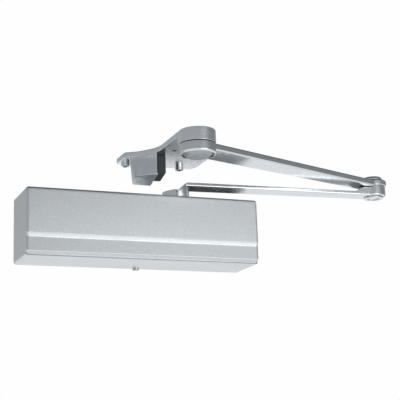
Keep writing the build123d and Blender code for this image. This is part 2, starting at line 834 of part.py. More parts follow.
with BuildPart() as forearm:
    with BuildSketch(forearm_plan):
        with BuildLine():
            tapered_bar(forearm_length, forearm_root_width, forearm_tip_width)
        make_face()
    extrude(amount=forearm_top - forearm_bottom)
    long_edges = forearm.edges().filter_by(lambda edge: edge.length > 150)
    fillet(long_edges, radius=2)
    with BuildSketch(elbow_axis.offset(forearm_bottom)):
        Circle(eye_relief)
    extrude(amount=eye_bottom - forearm_bottom, mode=Mode.SUBTRACT)
    with BuildSketch(elbow_axis.offset(eye_bottom)):
        Circle(eye_radius)
    extrude(amount=eye_top - eye_bottom)
    with BuildSketch(Plane(origin=(pivot_x, pivot_y, 0), x_dir=(1, 0, 0), z_dir=(0, -1, 0))):
        with BuildLine():
            Polyline(
                (0, ring_top),
                (0, ring_bottom),
                (ring_radius - 2.4, ring_bottom),
                (ring_radius - 0.7, ring_bottom + 0.8),
                (ring_radius, ring_bottom + 2.8),
                (ring_radius, ring_top - 0.8),
                (ring_radius - 0.8, ring_top),
                close=True,
            )
        make_face()
    revolve(axis=Axis((pivot_x, pivot_y, 0), (0, 0, 1)))
    with BuildSketch(pivot_axis.offset(ring_bottom)):
        Circle(ring_recess)
    extrude(amount=ring_recess_depth, mode=Mode.SUBTRACT)
    with BuildSketch(pivot_axis.offset(ring_bottom)):
        Circle(pivot_bush_radius)
    extrude(amount=ring_top - ring_bottom, mode=Mode.SUBTRACT)
    with BuildSketch(elbow_axis.offset(eye_bottom)):
        Circle(pin_radius)
    extrude(amount=eye_top - eye_bottom, mode=Mode.SUBTRACT)
forearm.part.label = "forearm"
export_step(forearm.part, "parts/forearm.step")

with BuildPart() as pivot_bush:
    with BuildSketch(pivot_axis.offset(ring_bottom + ring_recess_depth)):
        Circle(pivot_bush_radius - 0.02)
        Circle(stud_radius + fit_gap, mode=Mode.SUBTRACT)
    extrude(amount=ring_top - ring_bottom - ring_recess_depth)
pivot_bush.part.label = "pivot_bush"
export_step(pivot_bush.part, "parts/pivot_bush.step")

# Shoe: frame plate, a neck reaching forward and the round boss over the forearm's ring.
# Beside the boss the neck is as deep as the boss, back to a steep step under the plate.
boss_outer_radius = 22.8
stud_hole_top = 99.0
plate_left = -23.0
plate_right = 92.0
plate_back = -19.0
neck_left = pivot_x - boss_outer_radius
deep_back = -158.0
shoe_left_hole_x = -14.5
shoe_hole_spacing = 76.2
shoe_hole_y = -31.0
shoe_hole_radius = 3.2
shoe_pad_radius = 5.6
shoe_pad_bottom = 88.0
neck_hole_y = -101.0
neck_hole_x = 28.9
stop_screw_places = ((4, -32), (4, -56))

with BuildPart() as shoe_bracket:
    with BuildSketch(Plane.XY.offset(plate_bottom)):
        with BuildLine():
            wall = Line((neck_left, pivot_y), (neck_left, -103))
            shoulder = TangentArc(wall @ 1, (3.6, -76.8), tangent=wall % 1)
            sweep_line = Line(shoulder @ 1, (-2.5, -68.4))
            heel = TangentArc(sweep_line @ 1, (-12.4, -59.4), tangent=sweep_line % 1)
            Polyline(
                heel @ 1,
                (-21.4, -54),
                (plate_left, -50),
                (plate_left, plate_back),
                (plate_right, plate_back),
                (plate_right, -57),
                (84.7, -70),
                (68, -92),
                (60, -120),
                (pivot_x + boss_outer_radius, pivot_y),
                wall @ 0,
            )
        make_face()
        with Locations((pivot_x, pivot_y)):
            Circle(boss_outer_radius)
    extrude(amount=plate_top - plate_bottom)
    with BuildSketch(Plane(origin=(pivot_x, pivot_y, 0), x_dir=(1, 0, 0), z_dir=(0, -1, 0))):
        with BuildLine():
            Polyline(
                (0, plate_top),
                (0, boss_bottom),
                (boss_outer_radius - 1.2, boss_bottom),
                (boss_outer_radius, boss_bottom + 1.2),
                (boss_outer_radius, plate_top),
                close=True,
            )
        make_face()
    revolve(axis=Axis((pivot_x, pivot_y, 0), (0, 0, 1)))
    with BuildSketch(Plane.XY.offset(boss_bottom)):
        with BuildLine():
            Polyline(
                (neck_left, pivot_y),
                (neck_left, deep_back),
                (pivot_x - 14, deep_back + 10),
                (pivot_x, pivot_y),
                close=True,
            )
        make_face()
    extrude(amount=plate_bottom - boss_bottom)
    with BuildSketch(Plane.XY.offset(shoe_pad_bottom)):
        with Locations(
            (shoe_left_hole_x, shoe_hole_y),
            (shoe_left_hole_x + shoe_hole_spacing, shoe_hole_y),
        ):
            Circle(shoe_pad_radius)
    extrude(amount=plate_bottom - shoe_pad_bottom)
    with BuildSketch(Plane.XY.offset(shoe_pad_bottom)):
        with Locations(
            (shoe_left_hole_x, shoe_hole_y),
            (shoe_left_hole_x + shoe_hole_spacing, shoe_hole_y),
            (neck_hole_x, neck_hole_y),
        ):
            Circle(shoe_hole_radius)
    extrude(amount=plate_top - shoe_pad_bottom, mode=Mode.SUBTRACT)
    with BuildSketch(Plane.XZ.offset(-plate_back)):
        with BuildLine():
            Polyline(
                (plate_right - 11, plate_bottom),
                (plate_right, plate_bottom + 4),
                (plate_right + 1, plate_bottom - 1),
                close=True,
            )
        make_face()
    extrude(amount=60, mode=Mode.SUBTRACT)
    with BuildSketch(pivot_axis.offset(boss_bottom)):
        Circle(stud_radius)
    extrude(amount=stud_hole_top - boss_bottom, mode=Mode.SUBTRACT)
    with BuildSketch(Plane.XY.offset(plate_bottom)):
        with Locations(*stop_screw_places):
            Circle(2.5)
    extrude(amount=plate_top - plate_bottom, mode=Mode.SUBTRACT)
shoe_bracket.part.label = "shoe_bracket"
export_step(shoe_bracket.part, "parts/shoe_bracket.step")

# Pivot stud: pressed into the boss; its bevelled head carries the forearm.
stud_head_bottom = 68.0
stud_head_radius = 19.5
stud_flat_radius = 14.5

with BuildPart() as pivot_stud:
    with BuildSketch(Plane(origin=(pivot_x, pivot_y, 0), x_dir=(1, 0, 0), z_dir=(0, -1, 0))):
        with BuildLine():
            Polyline(
                (0, stud_hole_top - 0.2),
                (stud_radius, stud_hole_top - 0.2),
                (stud_radius, ring_bottom + ring_recess_depth - 0.5),
                (stud_head_radius, ring_bottom + ring_recess_depth - 0.5),
                (stud_head_radius, stud_head_bottom + 4),
                (stud_flat_radius, stud_head_bottom),
                (0, stud_head_bottom),
                close=True,
            )
        make_face()
    revolve(axis=Axis((pivot_x, pivot_y, 0), (0, 0, 1)))
pivot_stud.part.label = "pivot_stud"
export_step(pivot_stud.part, "parts/pivot_stud.step")

with BuildPart() as pivot_washer:
    with BuildSketch(pivot_axis.offset(ring_top + 0.05)):
        Circle(20)
        Circle(stud_radius, mode=Mode.SUBTRACT)
    extrude(amount=boss_bottom - ring_top - 0.05)
pivot_washer.part.label = "pivot_washer"
export_step(pivot_washer.part, "parts/pivot_washer.step")

# Stop block: hangs from the plate, drafted on its left side, with the rubber on its right.
block_back = -16.0
block_front_right = (14.8, -76.8)
block_back_right = (26.0, block_back)
block_foot = [block_front_right, block_back_right, (0, block_back), (-11, -56)]
block_root = [block_front_right, block_back_right, (-5, block_back - 8), (-15.5, -52)]
bumper_thickness = 10.2
bumper_length = 44.0
bumper_bottom = 70.0

with BuildPart() as stop_block:
    with BuildSketch(Plane.XY.offset(plate_bottom)):
        with BuildLine():
            Polyline(*block_root, close=True)
        make_face()
    with BuildSketch(Plane.XY.offset(stop_bottom)):
        with BuildLine():
            Polyline(*block_foot, close=True)
        make_face()
    loft()
    with BuildSketch(Plane.XY.offset(stop_bottom)):
        with Locations(*stop_screw_places):
            Circle(2.5)
    extrude(amount=plate_bottom - stop_bottom, mode=Mode.SUBTRACT)
    with BuildSketch(Plane.XY.offset(stop_bottom)):
        with Locations(*stop_screw_places):
            Circle(4.3)
    extrude(amount=1, mode=Mode.SUBTRACT)
stop_block.part.label = "stop_block"
export_step(stop_block.part, "parts/stop_block.step")

block_face_heading = degrees(
    atan2(
        block_back_right[1] - block_front_right[1],
        block_back_right[0] - block_front_right[0],
    )
)
bumper_side = along((*block_front_right, 0), block_face_heading)

with BuildPart() as stop_bumper:
    with BuildSketch(bumper_side.offset(0.02)):
        with BuildLine():
            Polyline(
                (0, bumper_bottom),
                (0, plate_bottom - 0.3),
                (bumper_length, plate_bottom - 0.3),
                (bumper_length, bumper_bottom),
                close=True,
            )
        make_face()
    extrude(amount=bumper_thickness)
stop_bumper.part.label = "stop_bumper"
export_step(stop_bumper.part, "parts/stop_bumper.step")

with BuildPart() as stop_screws:
    for screw_x, screw_y in stop_screw_places:
        pan_screw(screw_x, screw_y, stop_bottom + 1, 4, 0.9, 2.48, 24, 1)
stop_screws.part.label = "stop_screws"
export_step(stop_screws.part, "parts/stop_screws.step")
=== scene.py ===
import math

import bmesh
import bpy
import numpy as np
from mathutils import Matrix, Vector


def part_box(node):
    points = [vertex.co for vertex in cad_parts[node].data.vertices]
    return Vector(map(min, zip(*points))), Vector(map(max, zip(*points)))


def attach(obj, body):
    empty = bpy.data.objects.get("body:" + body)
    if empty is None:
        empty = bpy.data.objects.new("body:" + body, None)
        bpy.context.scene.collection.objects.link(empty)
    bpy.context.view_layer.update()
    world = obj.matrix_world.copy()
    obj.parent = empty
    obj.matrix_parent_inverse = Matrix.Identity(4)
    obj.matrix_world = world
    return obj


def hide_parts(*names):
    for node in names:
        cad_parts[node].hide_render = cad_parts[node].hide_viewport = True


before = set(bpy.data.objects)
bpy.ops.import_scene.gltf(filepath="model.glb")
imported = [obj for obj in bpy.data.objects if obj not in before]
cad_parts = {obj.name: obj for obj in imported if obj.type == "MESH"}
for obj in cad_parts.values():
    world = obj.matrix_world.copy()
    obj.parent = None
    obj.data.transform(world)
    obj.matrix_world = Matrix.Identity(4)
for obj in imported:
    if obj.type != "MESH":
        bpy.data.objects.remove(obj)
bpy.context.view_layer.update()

# Studio: the closer is seen from below and from its left, as it hangs on a door.
# White paper under it and soft panels in front give the light; above and to the right the room is darker,
# so the edges that turn away from the viewer draw a dark line round the metal.
MM = 0.001
camera_place = np.array([-451.98, -1347.66, -292.48]) * MM
camera_azimuth = 0.3909
camera_elevation = 0.23537
camera_roll = -0.0335
camera_focal = 97.66


def camera_axes(azimuth, elevation, roll):
    """Right, up and backward unit vectors of a camera looking along +Y, turned right by the azimuth,
    tipped up by the elevation and then rolled about its own line of sight."""
    forward = np.array([
        math.sin(azimuth) * math.cos(elevation),
        math.cos(azimuth) * math.cos(elevation),
        math.sin(elevation),
    ])
    level = np.array([math.cos(azimuth), -math.sin(azimuth), 0])
    upright = np.cross(level, forward)
    right = math.cos(roll) * level + math.sin(roll) * upright
    up = -math.sin(roll) * level + math.cos(roll) * upright
    return right, up, -forward


def place_camera():
    """Camera with a long lens, at its place and along its axes."""
    lens = bpy.data.cameras.new("camera")
    lens.lens = camera_focal
    lens.sensor_width = 36
    lens.clip_start = 0.05
    lens.clip_end = 50
    camera = bpy.data.objects.new("camera", lens)
    bpy.context.scene.collection.objects.link(camera)
    pose = np.eye(4)
    pose[:3, :3] = np.stack(camera_axes(camera_azimuth, camera_elevation, camera_roll), axis=1)
    pose[:3, 3] = camera_place
    camera.matrix_world = Matrix(pose.tolist())
    bpy.context.scene.camera = camera


def linear(colour):
    """Linear RGBA of an sRGB hex colour such as '#B8BCBF'."""
    parts = np.array([int(colour[place:place + 2], 16) for place in (1, 3, 5)]) / 255
    parts = np.where(parts <= 0.04045, parts / 12.92, ((parts + 0.055) / 1.055) ** 2.4)
    return (*parts.tolist(), 1.0)


def add(tree, kind, settings={}, inputs={}):
    """Adds a node: settings are its properties, inputs its sockets' values or the outputs that feed them."""
    made = tree.nodes.new(kind)
    for name, value in settings.items():
        setattr(made, name, value)
    for name, value in inputs.items():
        if isinstance(value, bpy.types.NodeSocket):
            tree.links.new(value, made.inputs[name])
        else:
            made.inputs[name].default_value = value
    return made


def empty_tree(owner):
    """Node tree of a material or a world, cleared."""
    owner.use_nodes = True
    owner.node_tree.nodes.clear()
    return owner.node_tree


def light_room():
    """World whose light falls off upwards and towards the right; seen directly it stays white."""
    world = bpy.data.worlds.new("studio")
    bpy.context.scene.world = world
    tree = empty_tree(world)
    place = add(tree, "ShaderNodeTexCoord")
    axes = add(tree, "ShaderNodeSeparateXYZ", {}, {0: place.outputs["Generated"]})
    height = add(tree, "ShaderNodeMapRange", {"interpolation_type": "SMOOTHSTEP"}, {
        "Value": axes.outputs["Z"], "From Min": -0.30, "From Max": 0.88,
        "To Min": 1.0, "To Max": 0.0,
    })
    aside = add(tree, "ShaderNodeMapRange", {"interpolation_type": "SMOOTHSTEP"}, {
        "Value": axes.outputs["X"], "From Min": 0.45, "From Max": 0.90,
        "To Min": 1.0, "To Max": 0.5,
    })
    share = add(tree, "ShaderNodeMath", {"operation": "MULTIPLY"}, {
        0: height.outputs["Result"], 1: aside.outputs["Result"],
    })
    glow = add(tree, "ShaderNodeMix", {"data_type": "RGBA"}, {
        "Factor": share.outputs[0], 6: linear("#5E6367"), 7: linear("#F4F6F8"),
    })
    lit = add(tree, "ShaderNodeBackground", {}, {"Color": glow.outputs[2], "Strength": 0.90})
    seen = add(tree, "ShaderNodeBackground", {}, {"Color": linear("#FEFEFE"), "Strength": 1.0})
    path = add(tree, "ShaderNodeLightPath")
    both = add(tree, "ShaderNodeMixShader", {}, {
        0: path.outputs["Is Camera Ray"], 1: lit.outputs[0], 2: seen.outputs[0],
    })
    add(tree, "ShaderNodeOutputWorld", {}, {"Surface": both.outputs[0]})


def lay_sheet(name, low, high, finish_name, colour, glow, shades):
    """Level matt sheet between two opposite corners in millimetres, out of the camera's sight. It glows
    white by a strength, and either shades what lies under it or lets light through."""
    (left, front), (right, back) = np.array(low[:2]) * MM, np.array(high[:2]) * MM
    level = low[2] * MM
    mesh = bpy.data.meshes.new(name)
    mesh.from_pydata(
        [(left, front, level), (right, front, level), (right, back, level), (left, back, level)],
        [], [(0, 1, 2, 3)],
    )
    sheet = bpy.data.objects.new(name, mesh)
    bpy.context.scene.collection.objects.link(sheet)
    finish = bpy.data.materials.new(finish_name)
    tree = empty_tree(finish)
    surface = add(tree, "ShaderNodeBsdfPrincipled", {}, {
        "Base Color": linear(colour), "Roughness": 0.9,
        "Emission Color": linear("#FFFFFF"), "Emission Strength": glow,
    })
    add(tree, "ShaderNodeOutputMaterial", {}, {"Surface": surface.outputs[0]})
    mesh.materials.append(finish)
    sheet.visible_camera = False
    sheet.visible_shadow = shades


def hang_light(name, place, aim, size, power):
    """Square soft panel at a place, facing a point."""
    lamp = bpy.data.lights.new(name, "AREA")
    lamp.size = size
    lamp.energy = power
    panel = bpy.data.objects.new(name, lamp)
    bpy.context.scene.collection.objects.link(panel)
    panel.visible_camera = False
    back = np.array(place, float) - np.array(aim, float)
    back /= np.linalg.norm(back)
    side = np.cross([0, 0, 1], back)
    side /= np.linalg.norm(side)
    pose = np.eye(4)
    pose[:3, 0], pose[:3, 1], pose[:3, 2], pose[:3, 3] = side, np.cross(back, side), back, place
    panel.matrix_world = Matrix(pose.tolist())


place_camera()
bpy.context.scene.view_settings.view_transform = "Standard"
light_room()
lay_sheet("floor", (-4000, -4000, -420), (4000, 4000, -420), "white_paper", "#E6E6E4", 0.84, True)
# Painted reflection: the main arm mirrors this black card, which lies behind the cover's top. The card is out
# of the camera's sight and casts no shadow, and it gives the arm's underside a dark band in place of the shade
# there.
lay_sheet("reflection_sheet", (30, 2, 44), (178, 78, 44), "painted_reflection_black", "#1C1D1E", 0.0, False)
hang_light("front_panel", (0.6, -1.6, -0.1), (0.05, 0, 0), 0.9, 2.9)
hang_light("low_panel", (0.35, -0.95, -0.40), (0.05, 0, 0), 0.8, 2.4)

# Cylinder body: grey iron, sand cast, with a coat of primer over its grain.
# It lies against the door on its saddle; two lugs, drilled with four holes, hold it there.


def metal_surface(name, dark, light, roughness, grain, depth, patch=25.0, metallic=1.0):
    """Metal or rubber finish. The colour wanders between two hex colours over patches of that many
    millimetres, the roughness between its two values, and a grain of its own size gives the relief."""
    finish = bpy.data.materials.new(name)
    tree = empty_tree(finish)
    place = add(tree, "ShaderNodeTexCoord")
    cloud = add(tree, "ShaderNodeTexNoise", {}, {
        "Vector": place.outputs["Object"], "Scale": 1 / (patch * MM), "Detail": 4.0,
    })
    tone = add(tree, "ShaderNodeMix", {"data_type": "RGBA"}, {
        "Factor": cloud.outputs["Fac"], 6: linear(dark), 7: linear(light),
    })
    pores = add(tree, "ShaderNodeTexNoise", {}, {
        "Vector": place.outputs["Object"], "Scale": 1 / (grain * MM), "Detail": 3.0,
    })
    gloss = add(tree, "ShaderNodeMapRange", {}, {
        "Value": pores.outputs["Fac"], "From Min": 0.3, "From Max": 0.7,
        "To Min": roughness[0], "To Max": roughness[1],
    })
    relief = add(tree, "ShaderNodeBump", {}, {
        "Height": pores.outputs["Fac"], "Strength": 1.0, "Distance": depth * MM,
    })
    surface = add(tree, "ShaderNodeBsdfPrincipled", {}, {
        "Base Color": tone.outputs[2], "Metallic": metallic,
        "Roughness": gloss.outputs["Result"], "Normal": relief.outputs["Normal"],
    })
    add(tree, "ShaderNodeOutputMaterial", {}, {"Surface": surface.outputs[0]})
    return finish


def coat(finish, *nodes):
    """Gives carried-over nodes a finish in place of their plain colour."""
    for node in nodes:
        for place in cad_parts[node].material_slots:
            place.material = finish


# Primed grey iron: the sand's grain shows through as a 1.5 mm dimple pattern.
primed_cast_iron = metal_surface(
    "primed_cast_iron", "#5E6265", "#7B7F82", (0.45, 0.62), 1.5, 0.25, metallic=0.3,
)
coat(primed_cast_iron, "cylinder_body")

# End caps, bearing nuts, spring seat, check retainer, power screw and valves: turned from bright steel bar.
# They screw into the body: a hexagon is there for a spanner, a slot for a screwdriver.

# Turned steel: the tool marks are too fine to show, so they are drawn as a 0.6 mm grain.
turned_steel = metal_surface("turned_steel", "#A9ADB0", "#C4C7C9", (0.22, 0.34), 0.6, 0.02)
coat(
    turned_steel, "spring_end_cap", "valve_end_cap", "upper_bearing_nut", "lower_bearing_nut",
    "power_screw", "spring_seat", "check_retainer", "sweep_valve", "latch_valve", "backcheck_valve",
)

# Pinion shaft, piston, check ball and needle bearings: case-hardened steel, ground where they run.
# The pinion's teeth drive the rack that is cut inside the piston.

# Ground steel: nearly a mirror, dulled by a fine 0.5 mm grain.
ground_steel = metal_surface("ground_steel", "#8E9295", "#A6AAAD", (0.14, 0.24), 0.5, 0.01)
coat(ground_steel, "pinion_shaft", "piston", "check_ball", "upper_bearing", "lower_bearing")

# Springs: oil-tempered wire, wound hot, left dark by the heat and wet with oil.
# One is wound inside the other, left-handed in right-handed, so that their coils can't catch.
oiled_spring_wire = metal_surface("oiled_spring_wire", "#3A3C40", "#54575B", (0.20, 0.36), 1.2, 0.03)
coat(oiled_spring_wire, "outer_spring", "inner_spring")

# Seals and valve rings: nitrile rubber, moulded, black and slightly shiny with oil.
# A rubber's skin is smooth, with a faint 0.8 mm mottling from the mould.
nitrile_rubber = metal_surface(
    "nitrile_rubber", "#141516", "#1E1F20", (0.42, 0.55), 0.8, 0.02, metallic=0.0,
)
coat(
    nitrile_rubber, "spring_end_seal", "valve_end_seal", "upper_seal", "lower_seal",
    "sweep_valve_ring", "latch_valve_ring", "backcheck_valve_ring",
)

# Bushes at the elbow and at the pivot: bronze powder, pressed, sintered and soaked with oil.
# They are pressed into the arms, and the powder leaves a fine dull skin.
sintered_bronze = metal_surface("sintered_bronze", "#8F6B3A", "#B48C52", (0.35, 0.5), 0.5, 0.03)
coat(sintered_bronze, "elbow_bush", "pivot_bush")

# Small screws, washers and the cover's bracket: mild steel, stamped or headed, then bright zinc plated.
# Zinc plate shines cold and slightly uneven, from the bath.
bright_zinc_plate = metal_surface("bright_zinc_plate", "#A4A9AD", "#C9CCCF", (0.20, 0.34), 3.0, 0.03)
coat(
    bright_zinc_plate, "cover_bracket", "bracket_screw", "cover_screw", "arm_screw", "arm_washer",
    "elbow_washer", "stop_screws",
)

# Cover: one shell pressed from sheet steel and sprayed with fine silver paint, open towards the door.
# Its front is stepped under a lip, its outer edges are rolled over, and a fold runs along its foot.
# It slides on over the body from the front; one screw from below holds it to the bracket.
cover_wall = 2.2
cover_low, cover_high = (np.array(corner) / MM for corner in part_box("cover"))
cover_roll = 3.2
lip_height, lip_radius = -15.4, 0.8
step_height, step_depth = -21.3, 1.9
chin_height, chin_radius = 6.2, 1.2
fold_low, fold_high, fold_depth = 1.5, 2.9, 5.6
foot_radius = 0.5
notch_half_width = 14
screw_slot_half_width = 2.6


def solid_object(name, points, faces):
    """Object at the origin from points in millimetres and faces as lists of indices, every face turned
    outwards after its doubles are merged."""
    mesh = bpy.data.meshes.new(name)
    mesh.from_pydata((points * MM).tolist(), [], faces)
    piece = bpy.data.objects.new(name, mesh)
    bpy.context.scene.collection.objects.link(piece)
    work = bmesh.new()
    work.from_mesh(mesh)
    bmesh.ops.remove_doubles(work, verts=work.verts, dist=0.002 * MM)
    bmesh.ops.recalc_face_normals(work, faces=work.faces)
    work.to_mesh(mesh)
    work.free()
    return piece


def ring_faces(count, around):
    """Quads between neighbouring closed rings of points."""
    index = np.arange(count * around).reshape(count, around)
    ahead = np.roll(index, -1, axis=1)
    quads = np.stack([index[:-1], ahead[:-1], ahead[1:], index[1:]], axis=-1)
    return quads.reshape(-1, 4).tolist()


def skinned(name, rings):
    """Closed solid over an array of rings (ring, point, axis): quads join neighbouring rings and a flat
    face closes each end."""
    count, around = rings.shape[:2]
    last = (count - 1) * around
    faces = ring_faces(count, around)
    faces += [list(range(around))[::-1], list(range(last, last + around))]
    return solid_object(name, rings.reshape(-1, 3), faces)


def arc(centre_y, centre_z, radius, start, stop, steps):
    """Points of an arc in the Y-Z plane: centre plus the radius turned evenly between two angles."""
    turn = np.radians(np.linspace(start, stop, steps))
    return np.stack([centre_y + radius * np.cos(turn), centre_z + radius * np.sin(turn)], axis=-1)


def cover_section():
    """Outside of the cover in the Y-Z plane, from its top back edge round the front to its bottom back
    edge: straight runs, with arcs where the sheet is rolled and a shallow fold above the foot."""
    front = cover_low[1]
    top, foot = cover_high[2], cover_low[2]
    step = front + step_depth
    return np.concatenate([
        [(0, top), (-20, top), (-40, top), (front + cover_roll + 1.4, top)],
        arc(front + cover_roll + 0.1, top - cover_roll, cover_roll, 90, 179, 8),
        [(front + 0.08, top - 5), (front + 0.03, 0), (front, lip_height + 2.2)],
        arc(front + lip_radius, lip_height + lip_radius, lip_radius, 180, 248, 6),
        [(step - 0.2, step_height + 2.6), (step, step_height + 1.9), (step, step_height + 0.6)],
        [(step - 0.4, foot + chin_height + 1.2)],
        arc(front + 2.6, foot + chin_height, chin_radius, 182, 236, 5),
        [(front + 4.0, foot + fold_high), (front + fold_depth, foot + fold_high)],
        [(front + fold_depth, foot + fold_low)],
        arc(front + 5.0, foot + foot_radius, foot_radius, 120, 270, 5),
        [(front + 7.2, foot), (-40, foot), (-20, foot), (0, foot)],
    ])


def cover_solid(stations, insets, back):
    """Solid whose section is carried along X through the stations, drawn in towards the middle of the back
    by each inset in both directions; its back lies at the given Y and flat faces close its ends."""
    section = cover_section()
    share = 1 - np.asarray(insets)[:, None, None] / [-cover_low[1], cover_high[2]]
    rings = np.empty((len(stations), len(section), 3))
    rings[..., 0] = np.asarray(stations)[:, None]
    rings[..., 1:] = section * share
    rings[:, [0, -1], 1] = back
    return skinned("cover_shell", rings)


def combined(piece, *steps):
    """Joins other closed pieces to this one or cuts them away, in turn, and drops them."""
    for operation, other in steps:
        cut = piece.modifiers.new("combine", "BOOLEAN")
        cut.operation = operation
        cut.solver = "EXACT"
        cut.object = other
    graph = bpy.context.evaluated_depsgraph_get()
    result = bpy.data.meshes.new_from_object(piece.evaluated_get(graph))
    piece.modifiers.clear()
    piece.data = result
    for operation, other in steps:
        bpy.data.objects.remove(other)
    return piece


def pressed_cover():
    """Outside with both ends rolled over by a quarter circle: the inset is 1 - cos and the place sin of the
    roll's angle. The inside is the same solid drawn in by the sheet's thickness, cut away."""
    roll = np.radians(np.linspace(90, 0, 7))
    ends = cover_roll * (1 - np.sin(roll))
    insets = cover_roll * (1 - np.cos(roll))
    outside = cover_solid(
        np.concatenate([cover_low[0] + ends, cover_high[0] - ends[::-1]]),
        np.concatenate([insets, insets[::-1]]), 0,
    )
    inside = cover_solid(
        [cover_low[0] + cover_wall, cover_high[0] - cover_wall], [cover_wall, cover_wall], 2,
    )
    return combined(outside, ("DIFFERENCE", inside))


def inward(outline):
    """Step of each point of a closed outline when both its sides move one unit to their left: the mean of
    the sides' normals, made longer as the corner grows sharper."""
    sides = np.roll(outline, -1, axis=-2) - outline
    sides /= np.linalg.norm(sides, axis=-1, keepdims=True)
    after = np.stack([-sides[..., 1], sides[..., 0]], axis=-1)
    before = np.roll(after, 1, axis=-2)
    mean = before + after
    mean /= np.linalg.norm(mean, axis=-1, keepdims=True)
    return mean / np.sum(mean * before, axis=-1, keepdims=True)


def raised(name, outline, inset, height):
    """Solid whose rings are an outline moved inward by each inset and set at each height, closed flat. The
    outline may be one for all rings or one for each."""
    rings = np.empty((len(height), outline.shape[-2], 3))
    rings[..., :2] = outline + np.asarray(inset)[:, None, None] * inward(outline)
    rings[..., 2] = np.asarray(height)[:, None]
    return skinned(name, rings)


def rounded_outline(corners, radii, steps=6):
    """Closed polygon with arcs for corners: each arc starts one radius times the tangent of half the turn
    before its corner, and its points turn evenly about a centre one radius aside."""
    corners = np.asarray(corners, float)
    radii = np.broadcast_to(np.asarray(radii, float), len(corners))[:, None]
    before = corners - np.roll(corners, 1, axis=0)
    after = np.roll(before, -1, axis=0)
    before /= np.linalg.norm(before, axis=1, keepdims=True)
    after /= np.linalg.norm(after, axis=1, keepdims=True)
    start = np.arctan2(before[:, 1], before[:, 0])[:, None]
    turn = np.arctan2(after[:, 1], after[:, 0])[:, None] - start
    turn = (turn + np.pi) % (2 * np.pi) - np.pi
    side = np.sign(turn)
    left = np.stack([-before[:, 1], before[:, 0]], axis=-1)
    centre = corners - before * radii * np.tan(np.abs(turn) / 2) + side * radii * left
    angle = start + turn * np.linspace(0, 1, steps + 1) - side * np.pi / 2
    points = centre[:, None] + radii[:, None] * np.stack([np.cos(angle), np.sin(angle)], axis=-1)
    return points.reshape(-1, 2)


def slot_cutter(place, half_width, low, high):
    """Cutter for a slot with a round end at a place, open towards the door."""
    left, right = place[0] - half_width, place[0] + half_width
    near, far = place[1] - half_width, 5
    corners = [(left, near), (right, near), (right, far), (left, far)]
    round_end = half_width - 0.01
    outline = rounded_outline(corners, [round_end, round_end, 0.2, 0.2], 12)
    return raised("cutter", outline, [0, 0], [low, high])


def middle(node):
    """Centre of a CAD node's box, in millimetres."""
    low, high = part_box(node)
    return (np.array(low) + np.array(high)) / 2 / MM


def finished(piece, body, finish, slot, *nodes):
    """Smooth faces with sharp folds, its finish, its body and the nodes that it stands for."""
    piece.data.materials.clear()
    piece.data.materials.append(finish)
    piece.data.polygons.foreach_set("material_index", np.zeros(len(piece.data.polygons), int))
    piece.data.shade_smooth()
    piece.data.set_sharp_from_angle(angle=math.radians(32))
    weighted = piece.modifiers.new("weighted", "WEIGHTED_NORMAL")
    weighted.keep_sharp = True
    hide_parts(*nodes)
    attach(piece, body)


def silver_paint(name, base, flake, roughness, peel, spread):
    """Metallic paint. Aluminium flakes, drawn 0.7 mm wide so that they show, lighten and darken the base;
    the spray's orange peel gives a faint relief, and the roughness drifts over the spread."""
    paint = bpy.data.materials.new(name)
    tree = empty_tree(paint)
    place = add(tree, "ShaderNodeTexCoord")
    flakes = add(tree, "ShaderNodeTexVoronoi", {}, {
        "Vector": place.outputs["Object"], "Scale": 1 / (0.7 * MM),
    })
    sparkle = add(tree, "ShaderNodeSeparateColor", {}, {"Color": flakes.outputs["Color"]})
    share = add(tree, "ShaderNodeMath", {"operation": "MULTIPLY"}, {0: sparkle.outputs[0], 1: 0.5})
    tone = add(tree, "ShaderNodeMix", {"data_type": "RGBA"}, {
        "Factor": share.outputs[0], 6: linear(base), 7: linear(flake),
    })
    drift = add(tree, "ShaderNodeTexNoise", {}, {
        "Vector": place.outputs["Object"], "Scale": 1 / (spread * MM), "Detail": 3.0,
    })
    gloss = add(tree, "ShaderNodeMapRange", {}, {
        "Value": drift.outputs["Fac"], "From Min": 0.35, "From Max": 0.65,
        "To Min": roughness[0], "To Max": roughness[1],
    })
    skin = add(tree, "ShaderNodeTexNoise", {}, {
        "Vector": place.outputs["Object"], "Scale": 1 / (peel * MM), "Detail": 2.0,
    })
    relief = add(tree, "ShaderNodeBump", {}, {
        "Height": skin.outputs["Fac"], "Strength": 1.0, "Distance": 0.012 * MM,
    })
    surface = add(tree, "ShaderNodeBsdfPrincipled", {}, {
        "Base Color": tone.outputs[2], "Metallic": 0.85, "Roughness": gloss.outputs["Result"],
        "Normal": relief.outputs["Normal"], "Coat Weight": 0.15, "Coat Roughness": 0.25,
    })
    add(tree, "ShaderNodeOutputMaterial", {}, {"Surface": surface.outputs[0]})
    return paint


spindle = middle("pinion_shaft")[:2]
top_cut = cover_high[2] - 6, cover_high[2] + 3
foot_cut = cover_low[2] - 3, cover_low[2] + 6
cover_shell = combined(
    pressed_cover(),
    ("DIFFERENCE", slot_cutter(spindle, notch_half_width, *top_cut)),
    ("DIFFERENCE", slot_cutter(middle("cover_screw")[:2], screw_slot_half_width, *foot_cut)),
)
# Sprayed silver: soft and even, with a sparkle of flakes under a thin clear skin.
sprayed_silver = silver_paint("sprayed_silver", "#B9BDC0", "#DADDDF", (0.30, 0.38), 1.6, 60)
finished(cover_shell, "cover", sprayed_silver, "cover_paint", "cover")

